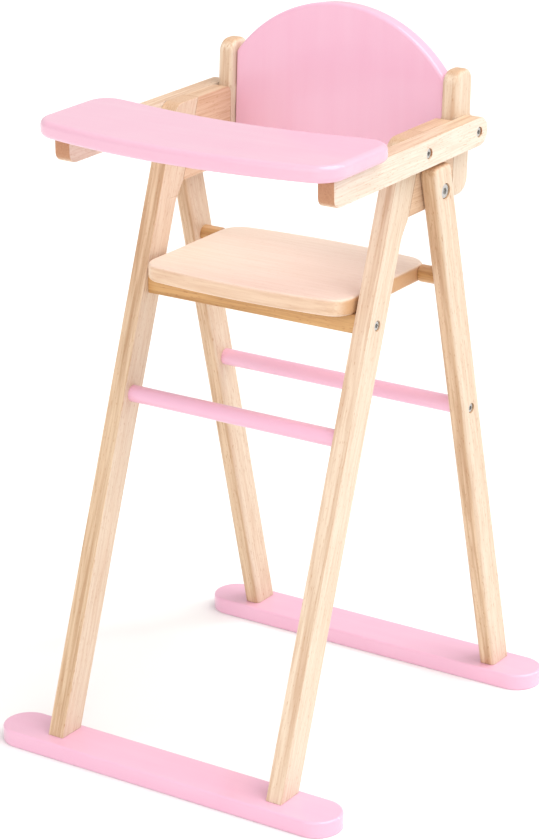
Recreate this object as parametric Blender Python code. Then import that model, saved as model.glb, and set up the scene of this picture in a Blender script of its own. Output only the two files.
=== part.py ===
"""Wooden doll high chair: two leg frames hinged under the arms, and a seat that tilts up.

Metres, +Z up.  The chair faces -Y.  The origin lies on the floor in the middle of the footprint.
"Left" is the -X side and "right" the +X side.
"""

import math

import bmesh
import bpy
from mathutils import Matrix, Vector

# Sizes read from the photo
OVERALL_HEIGHT = 0.550
FOOT_DEPTH = 0.3344            # front edge of the front runner to rear edge of the rear runner
INNER_HALF_WIDTH = 0.0937      # centre plane to the inner face of a front leg
STOCK = 0.0136                 # thickness of legs, arms, posts and side boards
RUNNER_THICKNESS = 0.0130
RUNNER_WIDTH = 0.0395
FRONT_RUNNER_OVERHANG = 0.0455  # past the front legs' outer faces
REAR_RUNNER_OVERHANG = 0.0350   # past the rear legs' outer faces
FRONT_LEG_WIDTH = 0.0224
REAR_LEG_WIDTH = 0.0250
FRONT_FOOT_SHIFT = 0.0036      # runner's middle to the leg's middle, towards the rear
REAR_FOOT_SHIFT = 0.0019
HEAD_Y = 0.0237                # middle of the front leg at the height of the arm's top
PIVOT_Y = 0.0490               # middle of the rear leg at the pivot bolt
HEAD_EXTRA = 0.0045            # the front leg is this much deeper beside the side board
FLARE_HEIGHT = 0.0110
ARCH_RISE = 0.0729             # arm's top to the top of the backrest
ARM_HEIGHT = 0.0218
ARM_FRONT = 0.1045             # how far the arm reaches in front of the middle
ARM_REAR = 0.1103
LEG_TOP_GAP = 0.0028           # rear leg's top to the arm's underside
PIVOT_DROP = 0.0230            # arm's underside to the pivot bolt
BOARD_DROP = 0.0390            # arm's underside to the side board's lower edge
POST_RISE = 0.0344             # arm's top to the post's top
POST_DEPTH = 0.0245
POST_FRONT = 0.0863            # at the height of the arm's top
PANEL_SETBACK = 0.0051         # post's front face to the backrest's front face
PANEL_THICKNESS = 0.0130
PANEL_ARC_RADIUS = 0.1164
PANEL_BOTTOM_RISE = 0.0019     # side board's lower edge to the backrest's lower edge
TRAY_THICKNESS = 0.0130
TRAY_OVERHANG = 0.0086         # past the arms' outer faces
TRAY_FRONT = 0.1365            # foremost point, on the centre plane
TRAY_FRONT_BOW = 0.0165
TRAY_REAR = 0.0335             # the two rear horns reach back to here
TRAY_REAR_HOLLOW = 0.0135
SEAT_DROP = 0.0658             # pivot bolt to the top of the seat
SEAT_THICKNESS = 0.0130
SEAT_SIDE_GAP = 0.0030         # seat to front leg
SEAT_OVERHANG = 0.0260         # middle of the rail to the seat's front edge
SEAT_REAR_REACH = 0.0195       # pivot dowels' axis to the seat's rear edge
SEAT_BOW = 0.0060
DOWEL_DIAMETER = 0.0133
FRONT_DOWEL_DROP = 0.0816      # rail to front dowel, middle to middle
REAR_DOWEL_DROP = 0.1111       # seat to rear dowel, middle to middle
RAIL_HEIGHT = 0.0147
RAIL_DEPTH = 0.0136

# Angles in degrees
BACK_LEAN = 3.6
CREASE = 34.0                  # edges sharper than this stay sharp when shaded

# Edge and corner radii
EDGE_RADIUS = 0.0036
SOFT_EDGE = 0.0040
HEAD_CORNER = 0.0080
BOARD_CORNER = 0.0060
POST_CORNER = 0.0100
POST_FOOT_CORNER = 0.0120
ARM_NOSE = 0.0075
ARM_NOSE_TOP = 0.0030
LEG_TOP_FRONT = 0.0068
LEG_TOP_REAR = 0.0030
FLARE_RADIUS = 0.0140
PANEL_CORNER = 0.0060
TRAY_FRONT_CORNER = 0.0170
TRAY_REAR_CORNER = 0.0190
SEAT_FRONT_CORNER = 0.0130
SEAT_REAR_CORNER = 0.0160

# Screws, bolts, pins
SCREW_SINK = 0.0010            # head lies this deep under the wood
SCREW_HEAD_DIAMETER = 0.0074
SCREW_HEAD_HEIGHT = 0.0024
SCREW_SHANK = 0.0036
SCREW_LENGTH = 0.0190
SCREW_SOCKET = 0.0032
SOCKET_DEPTH = 0.0015
BOLT_HEAD_DIAMETER = 0.0110
BOLT_HEAD_HEIGHT = 0.0032
BOLT_SHANK = 0.0056
BOLT_SOCKET = 0.0050
INSERT_DIAMETER = 0.0090
INSERT_LENGTH = 0.0095
PIN_DIAMETER = 0.0060
PIN_LENGTH = 0.0200
LONG_SCREW_LENGTH = 0.0290
TRAY_SCREW_LENGTH = 0.0170
TRAY_SCREW_SINK = 0.0082       # deeper than the others, to reach the tray
FRONT_DOWEL_SOCKET = 0.0060    # how deep the dowel ends are let in
REAR_DOWEL_SOCKET = 0.0040
STUB_IN_LEG = 0.0085
STUB_IN_SEAT = 0.0200
STUB_TENON = 0.0090            # diameter of the pivot dowel inside the seat

# Clearances
SEAM = 0.0002                  # between pieces that are glued or screwed together
RUNNING_GAP = 0.0003           # between pieces that move past each other
HOLE_CLEARANCE = 0.0002        # on the radius of a hole
OVERRUN = 0.0010               # how far a cut starts outside the wood
WELD = 0.00002                 # points closer than this become one

# Positions given as shares of the piece they lie in
ARM_FRONT_SCREW_SHARE = 0.60
TRAY_SCREW_SHARES = (0.18, 0.52)
BOARD_PIN_SHARES = (0.17, 0.57)
PANEL_PIN_SHARES = (0.17, 0.55)
TIP_LENGTH_SHARE = 2.0          # of the shank's radius
TIP_RADIUS_SHARE = 0.33

# Facet counts
ROUND_STEPS = 3
CORNER_STEPS = 5
ARC_STEPS = 20
ROD_SIDES = 24
SCREW_SIDES = 16

# Sizes that follow
MID_OUT = INNER_HALF_WIDTH + STOCK
OUT_IN = MID_OUT + RUNNING_GAP
OUT_OUT = OUT_IN + STOCK
MID_LAYER = INNER_HALF_WIDTH + STOCK / 2
OUT_LAYER = OUT_IN + STOCK / 2
ARM_TOP = OVERALL_HEIGHT - ARCH_RISE
ARM_BOTTOM = ARM_TOP - ARM_HEIGHT
ARM_MIDDLE = ARM_TOP - ARM_HEIGHT / 2
REAR_LEG_TOP = ARM_BOTTOM - LEG_TOP_GAP
PIVOT_HEIGHT = ARM_BOTTOM - PIVOT_DROP
BOARD_BOTTOM = ARM_BOTTOM - BOARD_DROP
POST_TOP = ARM_TOP + POST_RISE
PANEL_BOTTOM = BOARD_BOTTOM + PANEL_BOTTOM_RISE
TRAY_BOTTOM = ARM_TOP + SEAM
TRAY_HALF_WIDTH = OUT_OUT + TRAY_OVERHANG
SEAT_HALF_WIDTH = INNER_HALF_WIDTH - SEAT_SIDE_GAP
SEAT_TOP = PIVOT_HEIGHT - SEAT_DROP
SEAT_BOTTOM = SEAT_TOP - SEAT_THICKNESS
SEAT_MIDDLE = SEAT_TOP - SEAT_THICKNESS / 2
RAIL_TOP = SEAT_BOTTOM - SEAM
RAIL_MIDDLE = RAIL_TOP - RAIL_HEIGHT / 2
FRONT_DOWEL_HEIGHT = RAIL_MIDDLE - FRONT_DOWEL_DROP
REAR_DOWEL_HEIGHT = SEAT_MIDDLE - REAR_DOWEL_DROP
DOWEL_RADIUS = DOWEL_DIAMETER / 2
LEG_FOOT = RUNNER_THICKNESS + SEAM
FRONT_EDGE = -FOOT_DEPTH / 2
REAR_EDGE = FOOT_DEPTH / 2
FRONT_FOOT_Y = FRONT_EDGE + RUNNER_WIDTH / 2 + FRONT_FOOT_SHIFT
REAR_FOOT_Y = REAR_EDGE - RUNNER_WIDTH / 2 + REAR_FOOT_SHIFT
TAN_FRONT = (HEAD_Y - FRONT_FOOT_Y) / (ARM_TOP - RUNNER_THICKNESS)
TAN_REAR = (REAR_FOOT_Y - PIVOT_Y) / (PIVOT_HEIGHT - RUNNER_THICKNESS)
TAN_BACK = math.tan(math.radians(BACK_LEAN))
FRONT_LEG_RUN = FRONT_LEG_WIDTH / math.cos(math.atan(TAN_FRONT))
REAR_LEG_RUN = REAR_LEG_WIDTH / math.cos(math.atan(TAN_REAR))
SIDES = (("left", -1), ("right", 1))


def front_middle(z):
    """Y of the front leg's middle at height z."""
    return FRONT_FOOT_Y + (z - RUNNER_THICKNESS) * TAN_FRONT


def front_edge(z):
    """Y of the front leg's front edge at height z."""
    return front_middle(z) - FRONT_LEG_RUN / 2


def front_back(z):
    """Y of the front leg's rear edge at height z."""
    return front_middle(z) + FRONT_LEG_RUN / 2


def rear_middle(z):
    """Y of the rear leg's middle at height z."""
    return REAR_FOOT_Y - (z - RUNNER_THICKNESS) * TAN_REAR


def rear_edge(z):
    """Y of the rear leg's front edge at height z."""
    return rear_middle(z) - REAR_LEG_RUN / 2


def post_edge(z):
    """Y of the back post's front face at height z."""
    return POST_FRONT + (z - ARM_TOP) * TAN_BACK


RAIL_Y = front_middle(RAIL_MIDDLE)
TILT_Y = rear_middle(SEAT_MIDDLE)
SEAT_FRONT = RAIL_Y - SEAT_OVERHANG
SEAT_REAR = TILT_Y + SEAT_REAR_REACH
FOLD_AXIS = (0.0, PIVOT_Y, PIVOT_HEIGHT)
TILT_AXIS = (0.0, TILT_Y, SEAT_MIDDLE)
FRONT_DOWEL_Y = front_middle(FRONT_DOWEL_HEIGHT)
REAR_DOWEL_Y = rear_middle(REAR_DOWEL_HEIGHT)
ARM_SCREW_Y = front_edge(ARM_MIDDLE) + ARM_FRONT_SCREW_SHARE * (FRONT_LEG_RUN + HEAD_EXTRA)
POST_SCREW_Y = post_edge(ARM_MIDDLE) + POST_DEPTH / 2
PANEL_PIN_Y = PANEL_SETBACK + PANEL_THICKNESS / 2
BOARD_PIN_HEIGHTS = [BOARD_BOTTOM + share * (ARM_TOP - BOARD_BOTTOM) for share in BOARD_PIN_SHARES]
PANEL_PIN_HEIGHTS = [PANEL_BOTTOM + share * (OVERALL_HEIGHT - PANEL_BOTTOM) for share in PANEL_PIN_SHARES]
TRAY_SCREW_YS = [-ARM_FRONT + share * (ARM_FRONT - TRAY_REAR) for share in TRAY_SCREW_SHARES]
TRAY_SCREW_BASE = ARM_BOTTOM + TRAY_SCREW_SINK


# Scene and materials

def clear_scene():
    for item in list(bpy.data.objects):
        bpy.data.objects.remove(item, do_unlink=True)


def make_material(name, colour, roughness, metallic):
    made = bpy.data.materials.new(name)
    made.use_nodes = True
    shader = made.node_tree.nodes["Principled BSDF"]
    shader.inputs["Base Color"].default_value = (*colour, 1.0)
    shader.inputs["Roughness"].default_value = roughness
    shader.inputs["Metallic"].default_value = metallic
    made.diffuse_color = (*colour, 1.0)
    return made


clear_scene()
WOOD = make_material("natural_wood", (0.79, 0.62, 0.46), 0.50, 0.0)
PINK = make_material("pink_paint", (0.86, 0.48, 0.62), 0.38, 0.0)
STEEL = make_material("screw_steel", (0.50, 0.50, 0.52), 0.35, 1.0)


# Building blocks

def add_object(name, mesh_data, material, origin=(0.0, 0.0, 0.0)):
    """Writes a bmesh to a named object whose origin is the given point."""
    bmesh.ops.translate(mesh_data, verts=mesh_data.verts, vec=-Vector(origin))
    bmesh.ops.recalc_face_normals(mesh_data, faces=mesh_data.faces)
    mesh = bpy.data.meshes.new(name)
    mesh_data.to_mesh(mesh)
    mesh_data.free()
    item = bpy.data.objects.new(name, mesh)
    item.location = origin
    bpy.context.scene.collection.objects.link(item)
    mesh.materials.append(material)
    mesh.shade_smooth()
    mesh.set_sharp_from_angle(angle=math.radians(CREASE))
    return item


def round_corners(corners):
    """Turns (a, b, radius, flag) corners into outline points and one flag per segment."""
    points = []
    flags = []
    count = len(corners)
    for index, (a, b, radius, flag) in enumerate(corners):
        here = Vector((a, b))
        if radius <= 0:
            points.append(here)
            flags.append(flag)
            continue
        before = Vector(corners[index - 1][:2])
        after = Vector(corners[(index + 1) % count][:2])
        to_before = (before - here).normalized()
        to_after = (after - here).normalized()
        half = to_before.angle(to_after) / 2
        reach = radius / math.tan(half)
        centre = here + (to_before + to_after).normalized() * (radius / math.sin(half))
        start = here + to_before * reach - centre
        end = here + to_after * reach - centre
        sweep = start.angle_signed(end)
        for step in range(CORNER_STEPS + 1):
            turned = start.copy()
            turned.rotate(Matrix.Rotation(-sweep * step / CORNER_STEPS, 2))
            points.append(centre + turned)
            flags.append(flag)
    kept = [i for i in range(len(points)) if (points[i] - points[i - 1]).length > WELD]
    return [points[i] for i in kept], [flags[i] for i in kept]


def place(axis, a, b, depth):
    """Outline coordinates to space: an X plate is drawn in YZ, a Y plate in XZ, a Z plate in XY."""
    if axis == "X":
        return Vector((depth, a, b))
    if axis == "Y":
        return Vector((a, depth, b))
    return Vector((a, b, depth))


def plate_mesh(corners, axis, low, high, radius):
    """Extrudes an outline and rounds the rims: flag l = low face, h = high face, b = both."""
    points, flags = round_corners(corners)
    mesh_data = bmesh.new()
    below = [mesh_data.verts.new(place(axis, p.x, p.y, low)) for p in points]
    above = [mesh_data.verts.new(place(axis, p.x, p.y, high)) for p in points]
    mesh_data.faces.new(below)
    mesh_data.faces.new(above)
    count = len(points)
    for i in range(count):
        j = (i + 1) % count
        mesh_data.faces.new((below[i], below[j], above[j], above[i]))
    mesh_data.edges.ensure_lookup_table()
    rims = []
    for i in range(count):
        j = (i + 1) % count
        if flags[i] in ("l", "b"):
            rims.append(mesh_data.edges.get((below[i], below[j])))
        if flags[i] in ("h", "b"):
            rims.append(mesh_data.edges.get((above[i], above[j])))
    bmesh.ops.recalc_face_normals(mesh_data, faces=mesh_data.faces)
    if rims:
        bmesh.ops.bevel(mesh_data, geom=rims, offset=radius, offset_type="OFFSET",
                        segments=ROUND_STEPS, profile=0.5, affect="EDGES", clamp_overlap=True)
        bmesh.ops.remove_doubles(mesh_data, verts=mesh_data.verts, dist=WELD)
    return mesh_data


def plate(name, corners, axis, low, high, radius, material, origin=(0.0, 0.0, 0.0)):
    return add_object(name, plate_mesh(corners, axis, low, high, radius), material, origin)


def mirrored(flags_side, sign):
    """Flags for outer and inner rims as seen on either side of the chair."""
    if flags_side == "outer":
        return "h" if sign > 0 else "l"
    if flags_side == "inner":
        return "l" if sign > 0 else "h"
    return flags_side


def side_plate(name, sign, corners, inner, outer, radius, origin=(0.0, 0.0, 0.0)):
    """A plate of a side frame: inner and outer are distances from the centre plane."""
    low, high = sorted((sign * inner, sign * outer))
    turned = [(a, b, r, mirrored(flag, sign)) for a, b, r, flag in corners]
    return plate(name, turned, "X", low, high, radius, WOOD, origin)


def add_rod(mesh_data, start, end, radius, sides=ROD_SIDES):
    """Adds a closed cylinder between two points."""
    start = Vector(start)
    end = Vector(end)
    along = end - start
    turn = along.to_track_quat("Z", "Y").to_matrix().to_4x4()
    middle = Matrix.Translation((start + end) / 2) @ turn
    bmesh.ops.create_cone(mesh_data, cap_ends=True, segments=sides, radius1=radius,
                          radius2=radius, depth=along.length, matrix=middle)


def rod(name, start, end, radius, material, origin=(0.0, 0.0, 0.0)):
    mesh_data = bmesh.new()
    add_rod(mesh_data, start, end, radius)
    return add_object(name, mesh_data, material, origin)


def add_stepped(mesh_data, base, direction, profile, sides, socket=0.0, socket_depth=0.0):
    """Adds a turned solid: profile is (distance along, radius) from the outer face inwards.

    A socket is a six-sided hollow in the outer face.
    """
    base = Vector(base)
    direction = Vector(direction)
    turn = direction.to_track_quat("Z", "Y").to_matrix()
    rings = []
    for along, radius in profile:
        ring = []
        for step in range(sides):
            angle = 2 * math.pi * step / sides
            local = Vector((radius * math.cos(angle), radius * math.sin(angle), along))
            ring.append(mesh_data.verts.new(base + turn @ local))
        rings.append(ring)
    for first, second in zip(rings, rings[1:]):
        for i in range(sides):
            j = (i + 1) % sides
            mesh_data.faces.new((first[i], first[j], second[j], second[i]))
    mesh_data.faces.new(rings[-1])
    if socket <= 0:
        mesh_data.faces.new(rings[0])
        return
    mouth = []
    floor = []
    for step in range(6):
        angle = 2 * math.pi * step / 6
        x = socket / 2 * math.cos(angle)
        y = socket / 2 * math.sin(angle)
        mouth.append(mesh_data.verts.new(base + turn @ Vector((x, y, profile[0][0]))))
        floor.append(mesh_data.verts.new(base + turn @ Vector((x, y, profile[0][0] + socket_depth))))
    for i in range(6):
        j = (i + 1) % 6
        mesh_data.faces.new((mouth[i], mouth[j], floor[j], floor[i]))
    mesh_data.faces.new(floor)
    ring = rings[0]
    for i in range(6):
        first = i * sides // 6
        last = (i + 1) * sides // 6
        fan = [mouth[i]] + [ring[k % sides] for k in range(first, last + 1)] + [mouth[(i + 1) % 6]]
        mesh_data.faces.new(fan)


def screw_profile(head_radius, head_height, shank_radius, length):
    """Head, shank and a short point."""
    tip = shank_radius * TIP_LENGTH_SHARE
    return ((0.0, head_radius), (head_height, head_radius), (head_height, shank_radius),
            (length - tip, shank_radius), (length, shank_radius * TIP_RADIUS_SHARE))


def cut(target, tag, start, end, radius, sides=ROD_SIDES):
    """Takes a round hole out of a piece."""
    mesh_data = bmesh.new()
    add_rod(mesh_data, start, end, radius, sides)
    bmesh.ops.recalc_face_normals(mesh_data, faces=mesh_data.faces)
    mesh = bpy.data.meshes.new("cut_" + tag)
    mesh_data.to_mesh(mesh)
    mesh_data.free()
    cutter = bpy.data.objects.new("cut_" + tag, mesh)
    cutter.hide_render = True
    cutter.display_type = "WIRE"
    bpy.context.scene.collection.objects.link(cutter)
    change = target.modifiers.new("hole_" + tag, "BOOLEAN")
    change.operation = "DIFFERENCE"
    change.solver = "EXACT"
    change.object = cutter


def along_x(sign, inner, outer, y, z):
    """Start and end of a hole along X, given as distances from the centre plane."""
    return (sign * inner, y, z), (sign * outer, y, z)


def screw_hole(target, tag, sign, face, y, z, through_to):
    """Sunk head and shank hole of a screw driven from the outer face towards the middle."""
    sunk = face - SCREW_SINK - SCREW_HEAD_HEIGHT - SEAM
    start, end = along_x(sign, sunk, face + OVERRUN, y, z)
    cut(target, tag + "_head", start, end, SCREW_HEAD_DIAMETER / 2 + HOLE_CLEARANCE, SCREW_SIDES + 2)
    shank_hole(target, tag, sign, sunk + OVERRUN / 4, through_to, y, z)


def shank_hole(target, tag, sign, near, far, y, z):
    start, end = along_x(sign, far, near, y, z)
    cut(target, tag + "_shank", start, end, SCREW_SHANK / 2 + HOLE_CLEARANCE, SCREW_SIDES + 2)


# Foot runners

def runner(name, half, front, origin=(0.0, 0.0, 0.0)):
    """A flat bar across the feet with half-round ends."""
    radius = RUNNER_WIDTH / 2
    back = front + RUNNER_WIDTH
    corners = ((-half, front, radius, "h"), (half, front, radius, "h"),
               (half, back, radius, "h"), (-half, back, radius, "h"))
    return plate(name, corners, "Z", 0.0, RUNNER_THICKNESS, EDGE_RADIUS, PINK, origin)


# Side frames

def front_leg(side, sign):
    corners = (
        (front_edge(LEG_FOOT), LEG_FOOT, 0.0, "b"),
        (front_edge(ARM_TOP), ARM_TOP, HEAD_CORNER, "inner"),
        (front_back(ARM_TOP) + HEAD_EXTRA, ARM_TOP, 0.0, "n"),
        (front_back(BOARD_BOTTOM) + HEAD_EXTRA, BOARD_BOTTOM, 0.0, "n"),
        (front_back(BOARD_BOTTOM - FLARE_HEIGHT), BOARD_BOTTOM - FLARE_HEIGHT, FLARE_RADIUS, "b"),
        (front_back(LEG_FOOT), LEG_FOOT, 0.0, "n"),
    )
    return side_plate("front_leg_" + side, sign, corners, INNER_HALF_WIDTH, MID_OUT, EDGE_RADIUS)


def side_board(side, sign):
    start_top = front_back(ARM_TOP) + HEAD_EXTRA + SEAM
    start_bottom = front_back(BOARD_BOTTOM) + HEAD_EXTRA + SEAM
    corners = (
        (start_bottom, BOARD_BOTTOM, 0.0, "n"),
        (start_top, ARM_TOP, 0.0, "inner"),
        (post_edge(ARM_TOP) - SEAM, ARM_TOP, BOARD_CORNER, "n"),
        (post_edge(BOARD_BOTTOM) - SEAM, BOARD_BOTTOM, 0.0, "b"),
    )
    return side_plate("side_board_" + side, sign, corners, INNER_HALF_WIDTH, MID_OUT, EDGE_RADIUS)


def back_post(side, sign):
    corners = (
        (post_edge(BOARD_BOTTOM), BOARD_BOTTOM, 0.0, "n"),
        (post_edge(ARM_TOP), ARM_TOP, 0.0, "b"),
        (post_edge(POST_TOP), POST_TOP, POST_CORNER, "b"),
        (post_edge(POST_TOP) + POST_DEPTH, POST_TOP, POST_CORNER, "b"),
        (post_edge(ARM_TOP) + POST_DEPTH, ARM_TOP, 0.0, "n"),
        (post_edge(ARM_BOTTOM) + POST_DEPTH, ARM_BOTTOM, 0.0, "b"),
        (post_edge(BOARD_BOTTOM) + POST_DEPTH, BOARD_BOTTOM, POST_FOOT_CORNER, "b"),
    )
    return side_plate("back_post_" + side, sign, corners, INNER_HALF_WIDTH, MID_OUT, SOFT_EDGE)


def arm(side, sign):
    corners = (
        (-ARM_FRONT, ARM_BOTTOM, ARM_NOSE, "b"),
        (-ARM_FRONT, ARM_TOP, ARM_NOSE_TOP, "outer"),
        (ARM_REAR, ARM_TOP, ARM_HEIGHT / 2, "outer"),
        (ARM_REAR, ARM_BOTTOM, ARM_HEIGHT / 2, "b"),
    )
    return side_plate("arm_" + side, sign, corners, OUT_IN, OUT_OUT, EDGE_RADIUS)


def rear_leg(side, sign):
    corners = (
        (rear_edge(LEG_FOOT), LEG_FOOT, 0.0, "b"),
        (rear_edge(REAR_LEG_TOP), REAR_LEG_TOP, LEG_TOP_FRONT, "b"),
        (rear_edge(REAR_LEG_TOP) + REAR_LEG_RUN, REAR_LEG_TOP, LEG_TOP_REAR, "b"),
        (rear_edge(LEG_FOOT) + REAR_LEG_RUN, LEG_FOOT, 0.0, "n"),
    )
    return side_plate("rear_leg_" + side, sign, corners, OUT_IN, OUT_OUT, EDGE_RADIUS, FOLD_AXIS)


# Panels

def bow(half_width, depth, steps, start_sign):
    """Points of a shallow arc across the chair: (x, how far the arc falls back from its middle)."""
    result = []
    for step in range(steps + 1):
        x = start_sign * half_width * (1 - 2 * step / steps)
        result.append((x, depth * (x / half_width) ** 2))
    return result


def tray():
    """Bowed front edge, hollow rear edge, rounded corners."""
    horn = TRAY_HALF_WIDTH - TRAY_REAR_CORNER
    front = bow(TRAY_HALF_WIDTH, TRAY_FRONT_BOW, ARC_STEPS, -1)
    rear = bow(horn, TRAY_REAR_HOLLOW, ARC_STEPS, 1)
    corners = []
    for index, (x, fall) in enumerate(front):
        radius = TRAY_FRONT_CORNER if index in (0, ARC_STEPS) else 0.0
        corners.append((x, -TRAY_FRONT + fall, radius, "b"))
    corners = corners[:1] + corners[3:-3] + corners[-1:]
    corners.append((TRAY_HALF_WIDTH, -TRAY_REAR, TRAY_REAR_CORNER, "b"))
    for x, fall in rear[1:-1]:
        corners.append((x, -TRAY_REAR - TRAY_REAR_HOLLOW + fall, 0.0, "b"))
    corners.append((-TRAY_HALF_WIDTH, -TRAY_REAR, TRAY_REAR_CORNER, "b"))
    return plate("tray", corners, "Z", TRAY_BOTTOM, TRAY_BOTTOM + TRAY_THICKNESS, SOFT_EDGE, PINK)


def seat_panel():
    """Front and rear edges are slightly bowed."""
    front = bow(SEAT_HALF_WIDTH, SEAT_BOW, ARC_STEPS // 2, -1)
    rear = bow(SEAT_HALF_WIDTH, SEAT_BOW, ARC_STEPS // 2, 1)
    corners = []
    for index, (x, fall) in enumerate(front):
        radius = SEAT_FRONT_CORNER if index in (0, ARC_STEPS // 2) else 0.0
        corners.append((x, SEAT_FRONT + fall, radius, "b"))
    for index, (x, fall) in enumerate(rear):
        radius = SEAT_REAR_CORNER if index in (0, ARC_STEPS // 2) else 0.0
        corners.append((x, SEAT_REAR - fall, radius, "b"))
    return plate("seat_panel", corners, "Z", SEAT_BOTTOM, SEAT_TOP, EDGE_RADIUS, WOOD, TILT_AXIS)


def backrest_panel():
    """Arched top; the panel leans back with the posts."""
    half = INNER_HALF_WIDTH - SEAM
    centre = OVERALL_HEIGHT - PANEL_ARC_RADIUS
    shoulder = math.asin(half / PANEL_ARC_RADIUS)
    spring = centre + PANEL_ARC_RADIUS * math.cos(shoulder)
    corners = [(-half, PANEL_BOTTOM, 0.0, "b"), (-half, spring, PANEL_CORNER, "b")]
    for step in range(1, ARC_STEPS):
        angle = shoulder * (2 * step / ARC_STEPS - 1)
        corners.append((PANEL_ARC_RADIUS * math.sin(angle),
                        centre + PANEL_ARC_RADIUS * math.cos(angle), 0.0, "b"))
    corners += [(half, spring, PANEL_CORNER, "b"), (half, PANEL_BOTTOM, 0.0, "b")]
    mesh_data = plate_mesh(corners, "Y", 0.0, PANEL_THICKNESS, EDGE_RADIUS)
    for vertex in mesh_data.verts:
        vertex.co.y += post_edge(vertex.co.z) + PANEL_SETBACK
    return add_object("backrest_panel", mesh_data, PINK)


# Cross bars

def seat_rail():
    """Square bar between the front legs; the seat's front lies on it."""
    middle = front_middle(RAIL_MIDDLE)
    half = INNER_HALF_WIDTH - SEAM
    low = middle - RAIL_DEPTH / 2
    corners = ((low, RAIL_TOP - RAIL_HEIGHT, 0.0, "n"), (low, RAIL_TOP, 0.0, "n"),
               (low + RAIL_DEPTH, RAIL_TOP, 0.0, "n"), (low + RAIL_DEPTH, RAIL_TOP - RAIL_HEIGHT, 0.0, "n"))
    item = plate("seat_rail", corners, "X", -half, half, EDGE_RADIUS, WOOD)
    for side, sign in SIDES:
        shank_hole(item, "rail_" + side, sign, INNER_HALF_WIDTH + OVERRUN,
                   MID_OUT - SCREW_SINK - SCREW_LENGTH - OVERRUN, middle, RAIL_MIDDLE)
    return item


def pin_hole(target, tag, start, end):
    """Hole for a pin, a little longer than the pin at both ends."""
    start = Vector(start)
    end = Vector(end)
    more = (end - start).normalized() * SEAM
    cut(target, tag, start - more, end + more, PIN_DIAMETER / 2 + HOLE_CLEARANCE, SCREW_SIDES)


def board_joint_pins(sign):
    """Pins from the leg head and the post into the ends of the side board."""
    middle = sign * MID_LAYER
    ends = []
    for z in BOARD_PIN_HEIGHTS:
        for y in (front_back(z) + HEAD_EXTRA, post_edge(z)):
            ends.append(((middle, y - PIN_LENGTH / 2, z), (middle, y + PIN_LENGTH / 2, z)))
    return ends


def panel_pins(sign):
    """Pins from a post into the edge of the backrest."""
    ends = []
    for z in PANEL_PIN_HEIGHTS:
        y = post_edge(z) + PANEL_PIN_Y
        ends.append(((sign * (INNER_HALF_WIDTH - PIN_LENGTH / 2), y, z),
                     (sign * (INNER_HALF_WIDTH + PIN_LENGTH / 2), y, z)))
    return ends


def build_side(side, sign, tray_item, panel_item):
    """One side frame with all its holes."""
    leg = front_leg(side, sign)
    board = side_board(side, sign)
    post = back_post(side, sign)
    arm_item = arm(side, sign)

    screw_hole(arm_item, "arm_front_" + side, sign, OUT_OUT, ARM_SCREW_Y, ARM_MIDDLE, OUT_IN - OVERRUN)
    screw_hole(arm_item, "arm_rear_" + side, sign, OUT_OUT, POST_SCREW_Y, ARM_MIDDLE, OUT_IN - OVERRUN)
    tip = OUT_OUT - SCREW_SINK - SCREW_LENGTH - SEAM
    shank_hole(leg, "head_" + side, sign, MID_OUT + OVERRUN, tip, ARM_SCREW_Y, ARM_MIDDLE)
    shank_hole(post, "post_" + side, sign, MID_OUT + OVERRUN, tip, POST_SCREW_Y, ARM_MIDDLE)
    screw_hole(leg, "rail_end_" + side, sign, MID_OUT, RAIL_Y, RAIL_MIDDLE, INNER_HALF_WIDTH - OVERRUN)

    start, end = along_x(sign, INNER_HALF_WIDTH - OVERRUN, INNER_HALF_WIDTH + FRONT_DOWEL_SOCKET,
                         FRONT_DOWEL_Y, FRONT_DOWEL_HEIGHT)
    cut(leg, "front_dowel_" + side, start, end, DOWEL_RADIUS + HOLE_CLEARANCE)

    start, end = along_x(sign, MID_OUT - INSERT_LENGTH - SEAM, MID_OUT + OVERRUN, PIVOT_Y, PIVOT_HEIGHT)
    cut(board, "insert_" + side, start, end, INSERT_DIAMETER / 2 + HOLE_CLEARANCE)

    for index, (start, end) in enumerate(board_joint_pins(sign)):
        pin_hole(board, "board_pin_%s_%d" % (side, index), start, end)
        pin_hole(leg if index % 2 == 0 else post, "joint_pin_%s_%d" % (side, index), start, end)
    for index, (start, end) in enumerate(panel_pins(sign)):
        pin_hole(post, "post_pin_%s_%d" % (side, index), start, end)
        pin_hole(panel_item, "panel_pin_%s_%d" % (side, index), start, end)

    for index, y in enumerate(TRAY_SCREW_YS):
        x = sign * OUT_LAYER
        tag = "tray_%s_%d" % (side, index)
        seat_z = TRAY_SCREW_BASE + SCREW_HEAD_HEIGHT + SEAM
        cut(arm_item, tag + "_head", (x, y, ARM_BOTTOM - OVERRUN), (x, y, seat_z),
            SCREW_HEAD_DIAMETER / 2 + HOLE_CLEARANCE, SCREW_SIDES + 2)
        cut(arm_item, tag + "_shank", (x, y, seat_z - OVERRUN / 4), (x, y, ARM_TOP + OVERRUN),
            SCREW_SHANK / 2 + HOLE_CLEARANCE, SCREW_SIDES + 2)
        cut(tray_item, tag + "_thread", (x, y, TRAY_BOTTOM - OVERRUN),
            (x, y, TRAY_SCREW_BASE + TRAY_SCREW_LENGTH + SEAM),
            SCREW_SHANK / 2 + HOLE_CLEARANCE, SCREW_SIDES + 2)

    foot_screw_hole(leg, "front_foot_" + side, sign * MID_LAYER, front_middle(LEG_FOOT))


def foot_screw_hole(leg, tag, x, y):
    cut(leg, tag, (x, y, LEG_FOOT - OVERRUN), (x, y, SCREW_SINK + LONG_SCREW_LENGTH + SEAM),
        SCREW_SHANK / 2 + HOLE_CLEARANCE, SCREW_SIDES + 2)


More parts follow.
